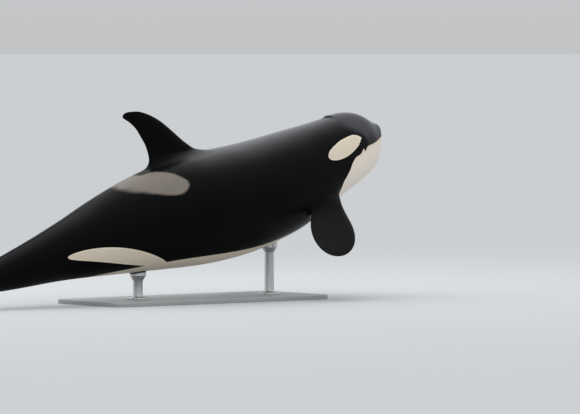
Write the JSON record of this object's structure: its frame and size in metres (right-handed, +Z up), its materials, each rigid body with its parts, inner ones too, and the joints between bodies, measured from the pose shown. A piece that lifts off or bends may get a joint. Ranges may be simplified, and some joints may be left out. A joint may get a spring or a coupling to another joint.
{
  "type": "orca, life-size still model",
  "caption": "Life-size orca, black and white with a grey saddle and a falcate dorsal fin, rising gently, on a flat stand with short rods.",
  "frame": {"origin": "on the floor under the middle of the whole model, stand included", "axes": "+X to the snout, +Y to the animal's left, +Z up"},
  "size_m": [5.7166, 1.9816, 1.9113],
  "materials": {
    "black_skin": "smooth wet skin, near black, brown-grey along the back",
    "white_skin": "smooth wet skin, warm creamy white",
    "grey_skin": "smooth wet skin, brownish grey with soft edges",
    "eye": "wet dark brown eye",
    "stand_plate": "fine satin powder coat, mid grey",
    "stand_steel": "brushed, satin"
  },
  "bodies": {
    "root": {"head": "black_skin", "lower_jaw": "white_skin", "eye_left": "eye", "eye_right": "eye", "eye_patch_left": "white_skin", "eye_patch_right": "white_skin", "throat": "white_skin", "belly": "white_skin", "flank_patch_left": "white_skin", "flank_patch_right": "white_skin", "chest": "black_skin", "torso": "black_skin", "tail_stock": "black_skin", "saddle_patch": "grey_skin", "dorsal_fin": "black_skin", "flipper_left": "black_skin", "flipper_right": "black_skin", "fluke_left": "black_skin", "fluke_right": "black_skin", "stand_base": "stand_plate", "stand_rod_front": "stand_steel", "stand_rod_rear": "stand_steel"}
  },
  "joints": []
}
